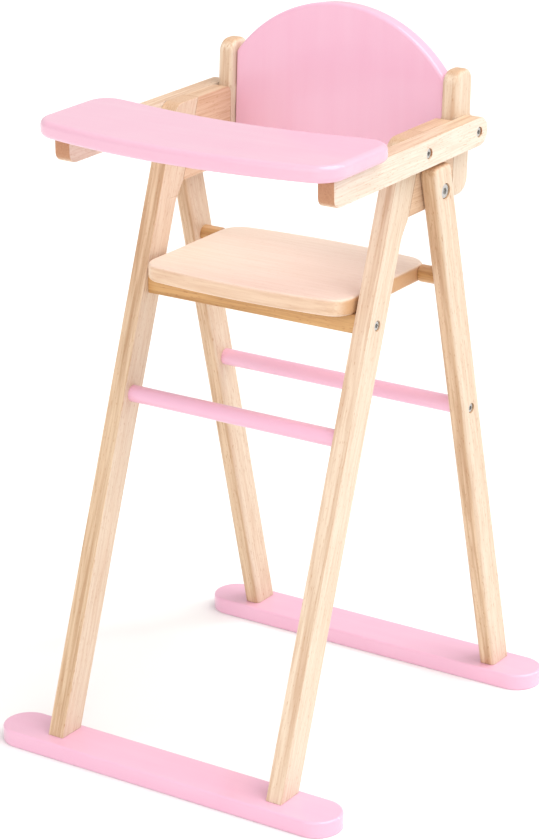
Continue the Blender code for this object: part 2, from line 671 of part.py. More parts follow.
def runner_holes(item, tag, x, y):
    seat_z = SCREW_SINK + SCREW_HEAD_HEIGHT + SEAM
    cut(item, tag + "_head", (x, y, -OVERRUN), (x, y, seat_z),
        SCREW_HEAD_DIAMETER / 2 + HOLE_CLEARANCE, SCREW_SIDES + 2)
    cut(item, tag + "_shank", (x, y, seat_z - OVERRUN / 4), (x, y, RUNNER_THICKNESS + OVERRUN),
        SCREW_SHANK / 2 + HOLE_CLEARANCE, SCREW_SIDES + 2)


def build_rear_leg(side, sign):
    leg = rear_leg(side, sign)
    sunk = OUT_OUT - SCREW_SINK - BOLT_HEAD_HEIGHT - RUNNING_GAP
    start, end = along_x(sign, sunk, OUT_OUT + OVERRUN, PIVOT_Y, PIVOT_HEIGHT)
    cut(leg, "bolt_head_" + side, start, end, BOLT_HEAD_DIAMETER / 2 + RUNNING_GAP)
    start, end = along_x(sign, OUT_IN - OVERRUN, sunk + OVERRUN / 4, PIVOT_Y, PIVOT_HEIGHT)
    cut(leg, "bolt_shank_" + side, start, end, BOLT_SHANK / 2 + RUNNING_GAP)

    start, end = along_x(sign, OUT_IN - OVERRUN, OUT_IN + STUB_IN_LEG + RUNNING_GAP, TILT_Y, SEAT_MIDDLE)
    cut(leg, "stub_" + side, start, end, DOWEL_RADIUS + RUNNING_GAP)

    start, end = along_x(sign, OUT_IN - OVERRUN, OUT_IN + REAR_DOWEL_SOCKET, REAR_DOWEL_Y, REAR_DOWEL_HEIGHT)
    cut(leg, "rear_dowel_" + side, start, end, DOWEL_RADIUS + HOLE_CLEARANCE)
    screw_hole(leg, "rear_dowel_screw_" + side, sign, OUT_OUT, REAR_DOWEL_Y, REAR_DOWEL_HEIGHT,
               OUT_IN + REAR_DOWEL_SOCKET - OVERRUN)
    foot_screw_hole(leg, "rear_foot_" + side, sign * OUT_LAYER, rear_middle(LEG_FOOT))


def screw(name, base, direction, length, origin=(0.0, 0.0, 0.0)):
    mesh_data = bmesh.new()
    add_stepped(mesh_data, base, direction,
                screw_profile(SCREW_HEAD_DIAMETER / 2, SCREW_HEAD_HEIGHT, SCREW_SHANK / 2, length),
                SCREW_SIDES + 2, SCREW_SOCKET, SOCKET_DEPTH)
    return add_object(name, mesh_data, STEEL, origin)


def build_fasteners(side, sign):
    """Screws, bolt, insert and pins of one side."""
    inward = (-sign, 0.0, 0.0)
    up = (0.0, 0.0, 1.0)
    face = sign * (OUT_OUT - SCREW_SINK)
    mid_layer = sign * MID_LAYER
    outer_layer = sign * OUT_LAYER
    screw("arm_front_screw_" + side, (face, ARM_SCREW_Y, ARM_MIDDLE), inward, SCREW_LENGTH)
    screw("arm_rear_screw_" + side, (face, POST_SCREW_Y, ARM_MIDDLE), inward, SCREW_LENGTH)
    screw("seat_rail_screw_" + side, (sign * (MID_OUT - SCREW_SINK), RAIL_Y, RAIL_MIDDLE), inward,
          SCREW_LENGTH)
    screw("front_runner_screw_" + side, (mid_layer, front_middle(LEG_FOOT), SCREW_SINK), up,
          LONG_SCREW_LENGTH)
    screw("rear_dowel_screw_" + side, (face, REAR_DOWEL_Y, REAR_DOWEL_HEIGHT), inward, SCREW_LENGTH,
          FOLD_AXIS)
    screw("rear_runner_screw_" + side, (outer_layer, rear_middle(LEG_FOOT), SCREW_SINK), up,
          LONG_SCREW_LENGTH, FOLD_AXIS)
    for place_name, y in zip(("front", "rear"), TRAY_SCREW_YS):
        screw("tray_screw_%s_%s" % (place_name, side), (outer_layer, y, TRAY_SCREW_BASE), up,
              TRAY_SCREW_LENGTH)
    for number, (start, end) in enumerate(board_joint_pins(sign), 1):
        pin("side_board_pin_%s_%d" % (side, number), start, end)
    for number, (start, end) in enumerate(panel_pins(sign), 1):
        pin("backrest_pin_%s_%d" % (side, number), start, end)
    pivot_bolt(side, sign)
    insert_nut(side, sign)


def pin(name, start, end):
    mesh_data = bmesh.new()
    add_rod(mesh_data, start, end, PIN_DIAMETER / 2, SCREW_SIDES)
    return add_object(name, mesh_data, WOOD)


def pivot_bolt(side, sign):
    """Bolt on which a rear leg swings; it is held by the insert in the side board."""
    length = STOCK - SCREW_SINK + INSERT_LENGTH - SEAM
    mesh_data = bmesh.new()
    shape = ((0.0, BOLT_HEAD_DIAMETER / 2), (BOLT_HEAD_HEIGHT, BOLT_HEAD_DIAMETER / 2),
             (BOLT_HEAD_HEIGHT, BOLT_SHANK / 2), (length, BOLT_SHANK / 2))
    add_stepped(mesh_data, (sign * (OUT_OUT - SCREW_SINK), PIVOT_Y, PIVOT_HEIGHT), (-sign, 0.0, 0.0),
                shape, ROD_SIDES, BOLT_SOCKET, SOCKET_DEPTH)
    add_object("pivot_bolt_" + side, mesh_data, STEEL, FOLD_AXIS)


def insert_nut(side, sign):
    """Threaded sleeve in the side board."""
    mesh_data = bmesh.new()
    outer = INSERT_DIAMETER / 2
    bore = BOLT_SHANK / 2 + HOLE_CLEARANCE
    near = sign * MID_OUT
    far = sign * (MID_OUT - INSERT_LENGTH)
    rings = []
    for x, radius in ((near, bore), (near, outer), (far, outer), (far, bore)):
        ring = []
        for step in range(ROD_SIDES):
            angle = 2 * math.pi * step / ROD_SIDES
            ring.append(mesh_data.verts.new((x, PIVOT_Y + radius * math.cos(angle),
                                             PIVOT_HEIGHT + radius * math.sin(angle))))
        rings.append(ring)
    for k in range(4):
        first = rings[k]
        second = rings[(k + 1) % 4]
        for i in range(ROD_SIDES):
            j = (i + 1) % ROD_SIDES
            mesh_data.faces.new((first[i], first[j], second[j], second[i]))
    add_object("pivot_insert_" + side, mesh_data, STEEL)


# Assembly: fixed front frame
tray_piece = tray()
panel_piece = backrest_panel()
for side_name, side_sign in SIDES:
    build_side(side_name, side_sign, tray_piece, panel_piece)
seat_rail()
dowel_reach = INNER_HALF_WIDTH + FRONT_DOWEL_SOCKET - SEAM
rod("front_dowel", (-dowel_reach, FRONT_DOWEL_Y, FRONT_DOWEL_HEIGHT),
    (dowel_reach, FRONT_DOWEL_Y, FRONT_DOWEL_HEIGHT), DOWEL_RADIUS, PINK)
front_runner = runner("front_runner", MID_OUT + FRONT_RUNNER_OVERHANG, FRONT_EDGE)
for side_name, side_sign in SIDES:
    runner_holes(front_runner, "front_runner_" + side_name,
                 side_sign * MID_LAYER, front_middle(LEG_FOOT))

# Assembly: rear frame, swings about the pivot bolts
for side_name, side_sign in SIDES:
    build_rear_leg(side_name, side_sign)
rear_runner = runner("rear_runner", OUT_OUT + REAR_RUNNER_OVERHANG, REAR_EDGE - RUNNER_WIDTH, FOLD_AXIS)
for side_name, side_sign in SIDES:
    runner_holes(rear_runner, "rear_runner_" + side_name, side_sign * OUT_LAYER, rear_middle(LEG_FOOT))
rear_reach = OUT_IN + REAR_DOWEL_SOCKET - SEAM
rear_dowel = rod("rear_dowel", (-rear_reach, REAR_DOWEL_Y, REAR_DOWEL_HEIGHT),
                 (rear_reach, REAR_DOWEL_Y, REAR_DOWEL_HEIGHT), DOWEL_RADIUS, PINK, FOLD_AXIS)
for side_name, side_sign in SIDES:
    shank_hole(rear_dowel, "rear_dowel_end_" + side_name, side_sign, rear_reach + OVERRUN,
               OUT_OUT - SCREW_SINK - SCREW_LENGTH - SEAM, REAR_DOWEL_Y, REAR_DOWEL_HEIGHT)

# Assembly: seat, tilts about its two pivot dowels
seat = seat_panel()
for side_name, side_sign in SIDES:
    hole_start, hole_end = along_x(side_sign, SEAT_HALF_WIDTH - STUB_IN_SEAT - SEAM,
                                   SEAT_HALF_WIDTH + OVERRUN, TILT_Y, SEAT_MIDDLE)
    cut(seat, "seat_stub_" + side_name, hole_start, hole_end, STUB_TENON / 2 + HOLE_CLEARANCE)
    stub_mesh = bmesh.new()
    tip_x = OUT_IN + STUB_IN_LEG
    deep = tip_x - SEAT_HALF_WIDTH + STUB_IN_SEAT
    shoulder_x = tip_x - SEAT_HALF_WIDTH - SEAM
    stub_shape = ((0.0, DOWEL_RADIUS), (shoulder_x, DOWEL_RADIUS), (shoulder_x, STUB_TENON / 2),
                  (deep, STUB_TENON / 2))
    add_stepped(stub_mesh, (side_sign * tip_x, TILT_Y, SEAT_MIDDLE), (-side_sign, 0.0, 0.0),
                stub_shape, ROD_SIDES)
    add_object("seat_pivot_" + side_name, stub_mesh, WOOD, TILT_AXIS)

for side_name, side_sign in SIDES:
    build_fasteners(side_name, side_sign)
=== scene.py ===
"""Looks of the wooden doll high chair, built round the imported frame.

Metres, +Z up, the chair faces -Y.  "Left" is the -X side and "right" the +X side.
"""
import math

import bpy
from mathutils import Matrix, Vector


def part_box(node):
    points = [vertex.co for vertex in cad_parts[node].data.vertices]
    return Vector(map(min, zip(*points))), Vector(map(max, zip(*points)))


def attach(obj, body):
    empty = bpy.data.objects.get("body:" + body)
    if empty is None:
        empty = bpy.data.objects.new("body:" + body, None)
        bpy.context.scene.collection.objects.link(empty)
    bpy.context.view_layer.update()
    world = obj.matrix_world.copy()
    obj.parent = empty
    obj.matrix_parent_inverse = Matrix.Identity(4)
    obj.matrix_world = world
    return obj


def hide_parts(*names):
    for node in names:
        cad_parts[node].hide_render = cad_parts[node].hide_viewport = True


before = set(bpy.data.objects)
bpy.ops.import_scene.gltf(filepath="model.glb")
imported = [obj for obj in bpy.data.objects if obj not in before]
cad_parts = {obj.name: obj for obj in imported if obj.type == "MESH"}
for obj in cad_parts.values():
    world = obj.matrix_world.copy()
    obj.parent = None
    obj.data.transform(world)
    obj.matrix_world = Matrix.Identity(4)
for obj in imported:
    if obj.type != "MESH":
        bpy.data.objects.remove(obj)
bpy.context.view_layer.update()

# Foot runners: two flat wooden bars painted pink, with half-round ends and softly rounded rims.
# Each is sawn from 13 mm board, rounded over with a router and sprayed; the legs stand on them.
parallel = 0.9              # an edge or normal runs along an axis when this much of it does
flat = 0.01                 # an edge lies in a side when no more than this of it leaves the side
near = 0.0002               # how close an edge must lie to the side that it is picked by
merge_distance = 0.00002
almost_half = 0.5 * 0.998   # a full round that leaves a hair of flat between its two arcs


def select_only(piece):
    bpy.ops.object.select_all(action="DESELECT")
    piece.select_set(True)
    bpy.context.view_layer.objects.active = piece


def block(name, low, high):
    """A cube stretched between two corners, ready for edit mode."""
    bpy.ops.object.select_all(action="DESELECT")
    low = Vector(low)
    high = Vector(high)
    bpy.ops.mesh.primitive_cube_add(size=1, location=(low + high) / 2)
    piece = bpy.context.object
    piece.name = name
    piece.scale = high - low
    bpy.ops.object.transform_apply(location=True, rotation=True, scale=True)
    return piece


def pick(piece, kind, test):
    """Selects what the test takes: vertices by place, edges and faces by middle and direction."""
    mesh = piece.data
    bpy.ops.object.mode_set(mode="OBJECT")
    mesh.polygons.foreach_set("select", [False] * len(mesh.polygons))
    mesh.edges.foreach_set("select", [False] * len(mesh.edges))
    mesh.vertices.foreach_set("select", [False] * len(mesh.vertices))
    if kind == "VERT":
        for vertex in mesh.vertices:
            vertex.select = test(vertex.co)
    if kind == "EDGE":
        for edge in mesh.edges:
            first = mesh.vertices[edge.vertices[0]].co
            second = mesh.vertices[edge.vertices[1]].co
            edge.select = test((first + second) / 2, (second - first).normalized())
    if kind == "FACE":
        for face in mesh.polygons:
            face.select = test(face.center, face.normal)
    bpy.context.tool_settings.mesh_select_mode = (kind == "VERT", kind == "EDGE", kind == "FACE")
    bpy.ops.object.mode_set(mode="EDIT")


def round_edges(piece, width, steps, test):
    """Rounds over the chosen edges; the width is measured along the two faces."""
    select_only(piece)
    pick(piece, "EDGE", test)
    bpy.ops.mesh.bevel(offset_type="OFFSET", offset=width, segments=steps, profile=0.5,
                       affect="EDGES", clamp_overlap=True)
    bpy.ops.mesh.select_all(action="SELECT")
    bpy.ops.mesh.remove_doubles(threshold=merge_distance)
    bpy.ops.object.mode_set(mode="OBJECT")


def rim_test(axis, level):
    """Edges that lie in one flat side of a board."""
    return lambda middle, run: abs(middle[axis] - level) < near and abs(run[axis]) < flat


def finish(piece, body, slot_name, material, *nodes, angle=32):
    """Smooths a piece, gives it its finish, and lets it ride in place of its solids."""
    select_only(piece)
    bpy.ops.object.shade_smooth_by_angle(angle=math.radians(angle))
    weighted = piece.modifiers.new("even_faces", "WEIGHTED_NORMAL")
    weighted.keep_sharp = True
    weighted.weight = 100
    bpy.ops.object.modifier_apply(modifier="even_faces")
    piece.data.materials.clear()
    piece.data.materials.append(material)
    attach(piece, body)
    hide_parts(*nodes)


def add_node(material, kind, **values):
    """A shader node with its settings; names that aren't settings are input sockets."""
    node = material.node_tree.nodes.new(kind)
    for name, value in values.items():
        if hasattr(node, name):
            setattr(node, name, value)
        else:
            node.inputs[name.replace("_", " ")].default_value = value
    return node


def new_finish(name):
    """A material, its shader and the place on the piece that its pattern follows."""
    material = bpy.data.materials.new(name)
    material.use_nodes = True
    place = add_node(material, "ShaderNodeTexCoord")
    return material, material.node_tree.nodes["Principled BSDF"], place


def along_grain(material, place, turn, stretch, shift=(0.0, 0.0, 0.0)):
    """Turns a pattern to the grain and draws it out along it."""
    mapping = add_node(material, "ShaderNodeMapping", vector_type="TEXTURE")
    mapping.inputs["Rotation"].default_value = turn
    mapping.inputs["Scale"].default_value = (1.0, 1.0, stretch)
    mapping.inputs["Location"].default_value = shift
    material.node_tree.links.new(place.outputs["Object"], mapping.inputs["Vector"])
    return mapping.outputs["Vector"]


def noise(material, vector, **values):
    texture = add_node(material, "ShaderNodeTexNoise", **values)
    material.node_tree.links.new(vector, texture.inputs["Vector"])
    return texture.outputs["Fac"]


def spread(material, value, low, high, new_low, new_high, **settings):
    """Stretches the part of a value between low and high to a new range."""
    node = add_node(material, "ShaderNodeMapRange", From_Min=low, From_Max=high,
                    To_Min=new_low, To_Max=new_high, **settings)
    material.node_tree.links.new(value, node.inputs["Value"])
    return node.outputs["Result"]


def mix_colours(material, share, first, second, **settings):
    """Blends two colours; each is a colour or what another node gives."""
    node = add_node(material, "ShaderNodeMix", data_type="RGBA", **settings)
    material.node_tree.links.new(share, node.inputs[0])
    for socket, colour in ((node.inputs[6], first), (node.inputs[7], second)):
        if isinstance(colour, tuple):
            socket.default_value = (*colour, 1.0)
        else:
            material.node_tree.links.new(colour, socket)
    return node.outputs[2]


def add_relief(material, shader, height, strength, distance):
    bump = add_node(material, "ShaderNodeBump", Strength=strength, Distance=distance)
    material.node_tree.links.new(height, bump.inputs["Height"])
    material.node_tree.links.new(bump.outputs["Normal"], shader.inputs["Normal"])


def paint(name, turn, colour, deep_colour):
    """Satin pink paint over wood: the grain shows through as faint ripples and pale streaks."""
    material, shader, place = new_finish(name)
    link = material.node_tree.links.new
    shader.inputs["IOR"].default_value = 1.5
    shader.inputs["Coat Weight"].default_value = 0.7
    shader.inputs["Coat Roughness"].default_value = 0.10
    along = along_grain(material, place, turn, 11.0)
    streaks = noise(material, along, Scale=95.0, Detail=5.0, Roughness=0.55, Distortion=0.3)
    cloud = noise(material, place.outputs["Object"], Scale=16.0, Detail=2.0)
    total = add_node(material, "ShaderNodeMath", operation="ADD")
    link(spread(material, streaks, 0.3, 0.7, 0.0, 0.22), total.inputs[0])
    link(spread(material, cloud, 0.3, 0.7, 0.0, 0.25), total.inputs[1])
    blend = mix_colours(material, total.outputs[0], colour, deep_colour)
    link(blend, shader.inputs["Base Color"])
    link(spread(material, streaks, 0.0, 1.0, 0.30, 0.46), shader.inputs["Roughness"])

    peel = noise(material, place.outputs["Object"], Scale=520.0, Detail=2.0)
    height = add_node(material, "ShaderNodeMix")
    height.inputs[0].default_value = 0.35
    link(streaks, height.inputs[2])
    link(peel, height.inputs[3])
    add_relief(material, shader, height.outputs[0], 0.10, 0.0006)
    return material


ALONG_X = (0.0, math.pi / 2, 0.0)
ALONG_Y = (-math.pi / 2, 0.0, 0.0)
PINK = (0.84, 0.49, 0.635)
DEEP_PINK = (0.81, 0.39, 0.555)
pink_across = paint("pink_satin_across", ALONG_X, PINK, DEEP_PINK)

runner_rim = 0.0026
runner_foot_rim = 0.0010
for name, body in (("front_runner", "front_frame"), ("rear_runner", "rear_frame")):
    low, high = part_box(name)
    bar = block(name + "_painted", low, high)
    half_round = (high.y - low.y) * almost_half
    round_edges(bar, half_round, 20, lambda middle, run: abs(run.z) > parallel)
    round_edges(bar, runner_rim, 6, rim_test(2, high.z))
    round_edges(bar, runner_foot_rim, 2, rim_test(2, low.z))
    finish(bar, body, "pink_paint", pink_across, name)

# Front legs: straight bars of pale, fine-grained wood, 13.6 mm thick and 22.4 mm wide, that lean
# back.  The head is a little deeper where the side board is glued to it, and runs out in a small
# hollow curve.  The long edges are rounded over, and a clear satin lacquer lets the grain show.
SIDES = (("left", -1), ("right", 1))
OCHRE = (0.66, 0.44, 0.28)      # end grain, and what pores and fibres darken the wood with


def wood(name, turn, face_axis, grain_axis, seed, tones, end_tone=OCHRE, figure=1.0):
    """Pale lacquered wood: cream broad faces, sawn edges warmer partly by nature and partly by
    painted shade, darker end grain.
    """
    face_pale, face_tan, edge_grain_and_shade_pale, edge_grain_and_shade_tan = tones
    material, shader, place = new_finish(name)
    link = material.node_tree.links.new
    shader.inputs["IOR"].default_value = 1.48
    shader.inputs["Coat Weight"].default_value = 0.18
    shader.inputs["Coat Roughness"].default_value = 0.32
    shift = (0.31 * seed, 0.17 * seed, 0.07 * seed)     # no two pieces show the same figure
    along = along_grain(material, place, turn, 26.0, shift)
    bands = noise(material, along, Scale=190.0, Detail=4.0, Roughness=0.60, Distortion=0.15)
    fibres = noise(material, along, Scale=760.0, Detail=3.0, Roughness=0.6)
    short = along_grain(material, place, turn, 5.0)
    flecks = noise(material, short, Scale=1100.0, Detail=1.0)
    tone = spread(material, bands, 0.40, 0.62, 0.0, 1.0)

    split = add_node(material, "ShaderNodeSeparateXYZ")
    link(place.outputs["Normal"], split.inputs["Vector"])

    def facing(axis, start):
        """1 where the surface faces along an axis of the piece, falling to 0 round its edges."""
        size = add_node(material, "ShaderNodeMath", operation="ABSOLUTE")
        link(split.outputs[axis], size.inputs[0])
        return spread(material, size.outputs[0], start, 0.95, 0.0, 1.0,
                      interpolation_type="SMOOTHSTEP")

    face = mix_colours(material, tone, face_pale, face_tan)
    # Painted shade: the sawn edges get warmer, more orange tones than the faces, partly the
    # wood's own edge tone and partly the look of the shaded front edges.
    edge = mix_colours(material, tone, edge_grain_and_shade_pale, edge_grain_and_shade_tan)
    both = mix_colours(material, facing(face_axis, 0.35), edge, face)
    with_ends = mix_colours(material, facing(grain_axis, 0.55), both, end_tone)

    marks = add_node(material, "ShaderNodeMath", operation="ADD", use_clamp=True)
    link(spread(material, fibres, 0.42, 0.70, 0.0, 0.34 * figure), marks.inputs[0])
    link(spread(material, flecks, 0.63, 0.74, 0.0, 0.55 * figure), marks.inputs[1])
    darker = mix_colours(material, marks.outputs[0], with_ends, OCHRE, blend_type="MULTIPLY")
    link(darker, shader.inputs["Base Color"])
    link(spread(material, fibres, 0.0, 1.0, 0.40, 0.60), shader.inputs["Roughness"])
    add_relief(material, shader, fibres, 0.12, 0.0004)
    return material


# Each set: broad face pale and tan, then sawn edge pale and tan. The edge tones are more orange,
# partly as the wood's own tone and partly as painted shade.
LEG_TONES = ((0.75, 0.615, 0.475), (0.715, 0.555, 0.41), (0.74, 0.55, 0.37), (0.56, 0.365, 0.215))
PALE_TONES = ((0.76, 0.635, 0.50), (0.725, 0.58, 0.44), (0.81, 0.66, 0.505), (0.67, 0.48, 0.33))

leg_run = 0.02382           # the leg's width, measured level
leg_rim = 0.0036
leg_sharp_foot = 0.002      # the rims start this far above the foot
leg_front_zone = 0.0070     # at the head's corner the front rim reaches this far back
leg_rear_zone = 0.0030
leg_covered = 0.0075        # how far down the head the arm lies against its outer side
leg_uncovered_front = 0.0020
leg_head_corner = 0.0080
head_extra = 0.0045
flare_height = 0.0110
flare_curve = 0.0062
board_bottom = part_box("side_board_right")[0].z
foot_low, foot_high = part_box("front_leg_right")
front_slope = (foot_high.y - head_extra - leg_run - foot_low.y) / (foot_high.z - foot_low.z)
front_turn = (-math.atan(front_slope), 0.0, 0.0)


def front_edge(z):
    return foot_low.y + (z - foot_low.z) * front_slope


def slide(piece, test, offset):
    """Moves the chosen vertices, as when a top is pulled over to make a bar lean."""
    select_only(piece)
    pick(piece, "VERT", test)
    bpy.ops.transform.translate(value=offset)
    bpy.ops.object.mode_set(mode="OBJECT")


def score(piece, heights):
    """Cuts level lines round a bar, so that its parts can be shaped by themselves."""
    for z in heights:
        select_only(piece)
        bpy.ops.object.mode_set(mode="EDIT")
        bpy.ops.mesh.select_all(action="SELECT")
        bpy.ops.mesh.bisect(plane_co=(0.0, 0.0, z), plane_no=(0.0, 0.0, 1.0))
        bpy.ops.object.mode_set(mode="OBJECT")


def inner_and_outer(low, high, sign):
    """X of the side that faces the chair's middle, and of the side that faces away from it."""
    return (low.x, high.x) if sign > 0 else (high.x, low.x)


def shape_with(piece, cutter, operation):
    """Cuts a piece with a second shape, which is then thrown away."""
    select_only(piece)
    shaping = piece.modifiers.new("shaping", "BOOLEAN")
    shaping.operation = operation
    shaping.solver = "EXACT"
    shaping.object = cutter
    bpy.ops.object.modifier_apply(modifier="shaping")
    bpy.data.objects.remove(cutter, do_unlink=True)


screw_sink = 0.0010
screw_hole = 0.0040
screw_head_height = 0.0024
drill_overrun = 0.002
drill_sides = 40
mouth_edge = 0.0004
mouth_depth = 0.0001        # the mouth's edges lie this close to the face,
mouth_share = 0.06          # and no more than this share of the radius off the hole's circle


def sunk_hole(piece, sign, face, centre, radius):
    """Drills a flat-bottomed hole for a screw's head, and breaks the sharp edge of its mouth."""
    start = Vector((face + sign * drill_overrun, centre.y, centre.z))
    end = Vector((face - sign * (screw_sink + screw_head_height), centre.y, centre.z))
    bpy.ops.object.select_all(action="DESELECT")
    turn = (end - start).to_track_quat("Z", "Y").to_euler()
    bpy.ops.mesh.primitive_cylinder_add(vertices=drill_sides, radius=radius,
                                        depth=(end - start).length,
                                        location=(start + end) / 2, rotation=turn)
    shape_with(piece, bpy.context.object, "DIFFERENCE")

    def on_mouth(middle, run):
        spoke = Vector((0.0, middle.y - centre.y, middle.z - centre.z)).length
        return abs(middle.x - face) < mouth_depth and abs(spoke - radius) < radius * mouth_share

    round_edges(piece, mouth_edge, 2, on_mouth)


rail_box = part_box("seat_rail")
rail_middle = (rail_box[0] + rail_box[1]) / 2
for side, sign in SIDES:
    low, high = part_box("front_leg_" + side)
    inner, outer = inner_and_outer(low, high, sign)
    leg = block("leg_front_" + side, low, (high.x, low.y + leg_run, high.z))
    slide(leg, lambda co: co.z > high.z - near, (0.0, front_slope * (high.z - low.z), 0.0))
    score(leg, (board_bottom - flare_height, board_bottom))
    slide(leg, lambda co: co.z > board_bottom - near and co.y > front_edge(co.z) + leg_run / 2,
          (0.0, head_extra, 0.0))
    round_edges(leg, flare_curve, 8, lambda middle, run: abs(run.x) > parallel
                and abs(middle.z - board_bottom + flare_height) < near
                and middle.y > front_edge(middle.z) + leg_run / 2)
    round_edges(leg, leg_head_corner, 10, lambda middle, run: abs(run.x) > parallel
                and middle.z > high.z - near and middle.y < front_edge(high.z) + leg_run / 2)
    for level in (inner, outer):
        def on_leg_rim(middle, run):
            """The front edge, the inner top, and the rear edge up to the flare."""
            if not rim_test(0, level)(middle, run):
                return False
            above_foot = middle.z > low.z + leg_sharp_foot
            in_front = middle.y < front_edge(middle.z) + leg_front_zone
            free_of_arm = (middle.z < high.z - leg_covered or level == inner
                           or middle.y < front_edge(high.z) + leg_uncovered_front)
            inner_top = level == inner and middle.z > high.z - near
            behind = middle.y > front_edge(middle.z) + leg_run - leg_rear_zone
            below_flare = middle.z < board_bottom - flare_height
            return (above_foot and in_front and free_of_arm or inner_top
                    or above_foot and below_flare and behind)

        round_edges(leg, leg_rim, 6, on_leg_rim)
    sunk_hole(leg, sign, outer, rail_middle, screw_hole)
    grain = wood("wood_leg_front_" + side, front_turn, 0, 2, 3 + sign,
                 PALE_TONES if sign > 0 else LEG_TONES)
    finish(leg, "front_frame", "natural_wood", grain, "front_leg_" + side)

# Side boards: short boards that fill the side between the leg head and the back post, grain
# lengthwise.  They are glued and pinned at both ends and hold the sleeve of the pivot bolt.  The
# lower edge is rounded on both sides, the upper one only inside, as the arm covers it outside.
# The boards are darker and more orange than the legs: partly their own wood, partly painted shade
# from the recess below the arm.
BOARD_TONES_WITH_PAINTED_SHADE = ((0.74, 0.54, 0.38), (0.66, 0.44, 0.28), (0.74, 0.52, 0.35), (0.62, 0.40, 0.24))
board_corner = 0.0060
board_rim = 0.0036
board_arc_end = 0.2         # the corner's steepest steps, by the post, keep their sharp rim
board_middle = 0.06         # Y of a place between a board's two ends
joint_edge = 0.0005         # the fine line at each glued end
arm_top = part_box("side_board_right")[1].z
post_low, post_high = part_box("back_post_right")
back_lean = math.radians(3.6)
post_depth = 0.0245
post_foot = post_high.y - post_depth - math.tan(back_lean) * (post_high.z - post_low.z)


def post_edge(z):
    return post_foot + math.tan(back_lean) * (z - post_low.z)


for side, sign in SIDES:
    low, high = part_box("side_board_" + side)
    inner, outer = inner_and_outer(low, high, sign)
    start_low = front_edge(board_bottom) + leg_run + head_extra
    board = block("board_" + side, (low.x, start_low + joint_edge, low.z),
                  (high.x, post_edge(low.z) - joint_edge, high.z))
    slide(board, lambda co: co.z > high.z - near and co.y < board_middle,
          (0.0, front_slope * (high.z - low.z), 0.0))
    slide(board, lambda co: co.z > high.z - near and co.y > board_middle,
          (0.0, post_edge(high.z) - post_edge(low.z), 0.0))
    round_edges(board, board_corner, 8, lambda middle, run: abs(run.x) > parallel
                and middle.z > high.z - near and middle.y > board_middle)
    round_edges(board, board_rim, 6, lambda middle, run: rim_test(0, inner)(middle, run)
                and (middle.z > high.z - board_corner - near and abs(run.y) > board_arc_end
                     or middle.z < low.z + near))
    round_edges(board, board_rim, 6, lambda middle, run: rim_test(0, outer)(middle, run)
                and middle.z < low.z + near)
    grain = wood("wood_board_" + side, ALONG_Y, 0, 1, 7 + sign, BOARD_TONES_WITH_PAINTED_SHADE)
    finish(board, "front_frame", "natural_wood", grain, "side_board_" + side)

# Back posts: upright bars, rounded at the top and at the lower rear corner, that carry the
# backrest.  They lean back a few degrees.  The arm is screwed against the outer side of each.
post_corner = 0.0100
post_foot_corner = 0.0120
post_rim = 0.0040
post_front_zone = 0.0030
arm_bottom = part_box("arm_right")[0].z
for side, sign in SIDES:
    low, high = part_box("back_post_" + side)
    post = block("post_" + side, (low.x, post_edge(low.z), low.z),
                 (high.x, post_edge(low.z) + post_depth, high.z))
    slide(post, lambda co: co.z > high.z - near,
          (0.0, post_edge(high.z) - post_edge(low.z), 0.0))
    score(post, (arm_bottom, arm_top))
    round_edges(post, post_corner, 12, lambda middle, run: abs(run.x) > parallel
                and middle.z > high.z - near)
    round_edges(post, post_foot_corner, 10, lambda middle, run: abs(run.x) > parallel
                and middle.z < low.z + near and middle.y > post_foot + post_depth / 2)
    for level in (low.x, high.x):
        def on_post_rim(middle, run):
            """All round above the arm, and below it the rear edge and the foot."""
            above_arm = middle.z > arm_top + near
            behind = (middle.z < arm_bottom - near
                      and middle.y > post_edge(middle.z) + post_front_zone)
            at_foot = middle.z < low.z + near
            return rim_test(0, level)(middle, run) and (above_arm or behind or at_foot)

        round_edges(post, post_rim, 6, on_post_rim)
    grain = wood("wood_post_" + side, (-back_lean, 0.0, 0.0), 0, 2, 11 + sign, PALE_TONES)
    finish(post, "front_frame", "natural_wood", grain, "back_post_" + side)

# Backrest: one pink board between the posts, arched on top, its rim softly rounded front and
# back.  It leans back with the posts and is pinned and glued to them along both edges.
panel_low, panel_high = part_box("backrest_panel")
panel_setback = 0.0051
panel_thickness = 0.0130
panel_corner = 0.0060
panel_rim = 0.0036
arc_radius = 0.1164
arc_sides = 360
arc_room = 0.01             # the blank stands this much above the arc's top
cutter_depth = 0.1
tall = (panel_high.z - panel_low.z) / math.cos(back_lean)
backrest = block("backrest", (panel_low.x, 0.0, 0.0),
                 (panel_high.x, panel_thickness, tall + arc_room))
bpy.ops.object.select_all(action="DESELECT")
bpy.ops.mesh.primitive_cylinder_add(vertices=arc_sides, radius=arc_radius, depth=cutter_depth,
                                    location=(0.0, 0.0, tall - arc_radius),
                                    rotation=(math.pi / 2, 0.0, 0.0))
shape_with(backrest, bpy.context.object, "INTERSECT")
round_edges(backrest, panel_corner, 6, lambda middle, run: abs(run.y) > parallel
            and middle.z > near and abs(middle.x) > panel_high.x - near)
for level in (0.0, panel_thickness):
    round_edges(backrest, panel_rim, 6, rim_test(1, level))
backrest.rotation_euler = (-back_lean, 0.0, 0.0)
backrest.location = (0.0, post_edge(panel_low.z) + panel_setback, panel_low.z)
select_only(backrest)
bpy.ops.object.transform_apply(location=True, rotation=True, scale=True)
pink_upright = paint("pink_satin_upright", (-back_lean, 0.0, 0.0), PINK, DEEP_PINK)
finish(backrest, "front_frame", "pink_paint", pink_upright, "backrest_panel")

